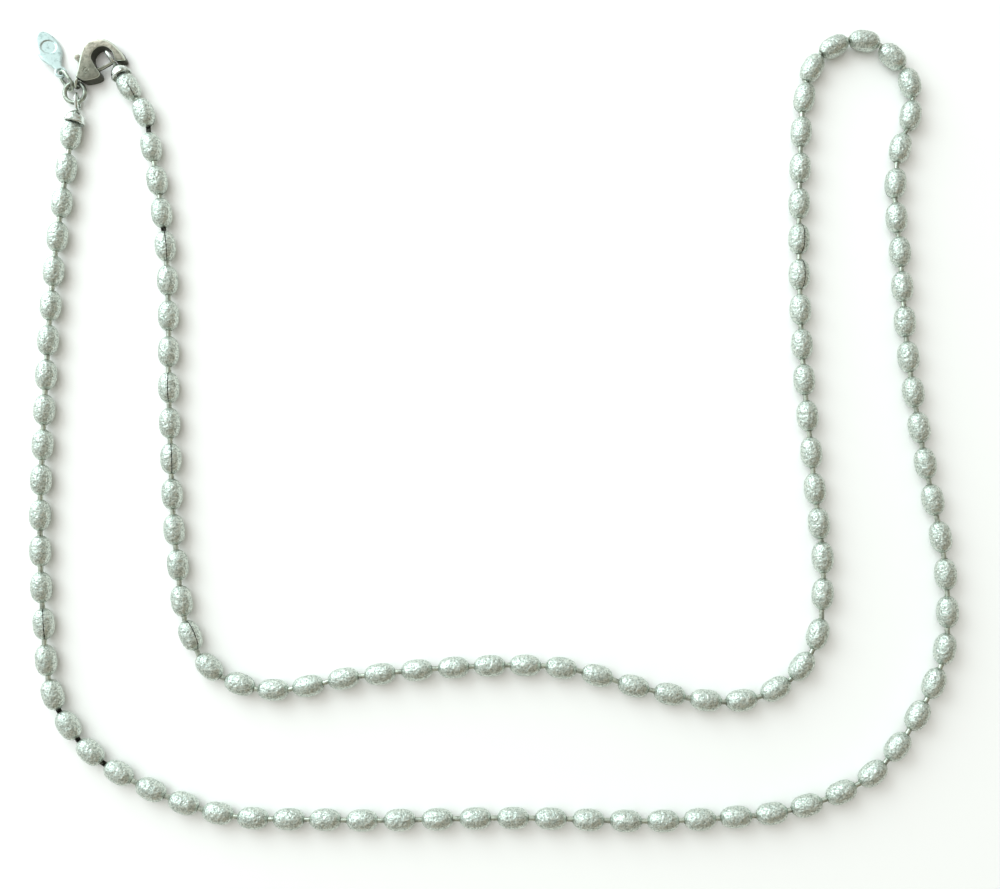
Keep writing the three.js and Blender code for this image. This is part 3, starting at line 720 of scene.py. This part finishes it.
# The tag: a leaf cut from thick silver sheet and polished, with a round dimple struck in
# its wide part and a pierced ring at its neck. It leans on the floor with its tip.
TAG_HOLE = (-78.45, 64.55, 1.3)
TAG_HOLE_RADIUS = 0.62
TAG_NECK_RADIUS = 1.12
TAG_HALF_THICKNESS = 0.3
LEAF_STATIONS, LEAF_SIDES = 120, 96
NECK_STATIONS, NECK_SIDES = 48, 20
TAG_BANK, TAG_PITCH, TAG_HEADING = 18, 3.5, 117.5
DIMPLE_RADIUS = 1.45
DIMPLE_DEPTH = 0.18
DIMPLE_STEP = 0.16
DIMPLE_FROM_HOLE = 5.6
# The leaf's reach to its right and to its left, at distances from the middle of its hole.
TAG_EDGES = np.array([(0.75, 0.6, 0.7), (1.3, 0.68, 0.88), (2.2, 1.05, 1.45), (3.6, 1.84, 2.15),
                      (5.1, 2.12, 2.32), (6.6, 1.92, 2.07), (7.7, 1.46, 1.64),
                      (8.45, 0.95, 1.15), (8.9, 0.4, 0.55)])

# Polished sheet: rolled smooth and buffed to the brightest finish of the whole piece, with
# fine scratches.
sheet_silver, tree = new_material("polished_silver_sheet")
place = add_node(tree, "ShaderNodeTexCoord").outputs["Object"]
scuffs = add_node(tree, "ShaderNodeTexNoise", {"Vector": place, "Scale": 1000 / 0.8,
                                               "Detail": 5.0, "Roughness": 0.7}).outputs[0]
worn = add_node(tree, "ShaderNodeMapRange", {"Value": scuffs, "From Min": 0.52,
                                             "From Max": 0.7}).outputs["Result"]
colour = add_node(tree, "ShaderNodeMix", {0: worn, 6: linear("#cadbd9"), 7: linear("#9aaeab")},
                  data_type="RGBA").outputs[2]
roughness = add_node(tree, "ShaderNodeMapRange",
                     {"Value": scuffs, "From Min": 0.35, "From Max": 0.65,
                      "To Min": 0.3, "To Max": 0.42}).outputs["Result"]
silver = add_node(tree, "ShaderNodeBsdfPrincipled", {"Base Color": colour, "Metallic": 1.0,
                                                     "Roughness": roughness})
add_node(tree, "ShaderNodeOutputMaterial", {"Surface": silver.outputs[0]})


def leaf_plate():
    """Rings of points of the leaf, one for each distance from the hole. A section reaches as
    far to each side as the leaf does there, and its thickness falls at the edges as (1 - |y|
    to the power 10) to the power 0.3, y running from -1 to 1 across. The dimple lowers the
    top by its depth inside its radius, and the step down to it is a smooth ease."""
    distance = np.linspace(TAG_EDGES[0, 0], TAG_EDGES[-1, 0], LEAF_STATIONS)
    reach = curve_through(TAG_EDGES, distance)
    turn = (np.arange(LEAF_SIDES) * 2 * np.pi / LEAF_SIDES)[None, :]
    across = np.cos(turn)
    y = np.where(across < 0, reach[:, :1], reach[:, 1:]) * across
    edge = np.maximum(1 - np.abs(across) ** 10, 0) ** 0.3
    z = TAG_HALF_THICKNESS * edge * np.sign(np.round(np.sin(turn), 9)) + 0 * y
    x = distance[:, None] + 0 * y
    from_dimple = np.hypot(x - DIMPLE_FROM_HOLE, y)
    way_in = np.clip((DIMPLE_RADIUS - from_dimple) / DIMPLE_STEP, 0, 1)
    z = z - np.where(z > 0, DIMPLE_DEPTH * way_in**2 * (3 - 2 * way_in), 0)
    return np.stack([x, y, z], axis=-1)[None]


def neck_ring():
    """Rings of points of the flat ring round the hole: a rounded rectangle carried round."""
    way = (np.arange(NECK_STATIONS) * 2 * np.pi / NECK_STATIONS)[None, :, None, None]
    turn = (np.arange(NECK_SIDES) * 2 * np.pi / NECK_SIDES)[None, None, :, None]
    across = np.sign(np.cos(turn)) * np.abs(np.cos(turn)) ** 0.5
    upward = np.sign(np.sin(turn)) * np.abs(np.sin(turn)) ** 0.5
    out = np.concatenate([np.cos(way), np.sin(way), 0 * way], axis=-1)
    middle = (TAG_NECK_RADIUS + TAG_HOLE_RADIUS) / 2
    half = (TAG_NECK_RADIUS - TAG_HOLE_RADIUS) / 2
    return out * (middle - half * across) + np.array([0, 0, TAG_HALF_THICKNESS]) * upward


tag_shells = [(turned(points, TAG_BANK, TAG_PITCH, TAG_HEADING) + TAG_HOLE, faces)
              for points, faces in (shell(leaf_plate()), shell(neck_ring(), comes_round=True))]
tag = make_piece("leaf_tag", tag_shells, sheet_silver)
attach(tag, "necklace")
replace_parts(tag, "tag")
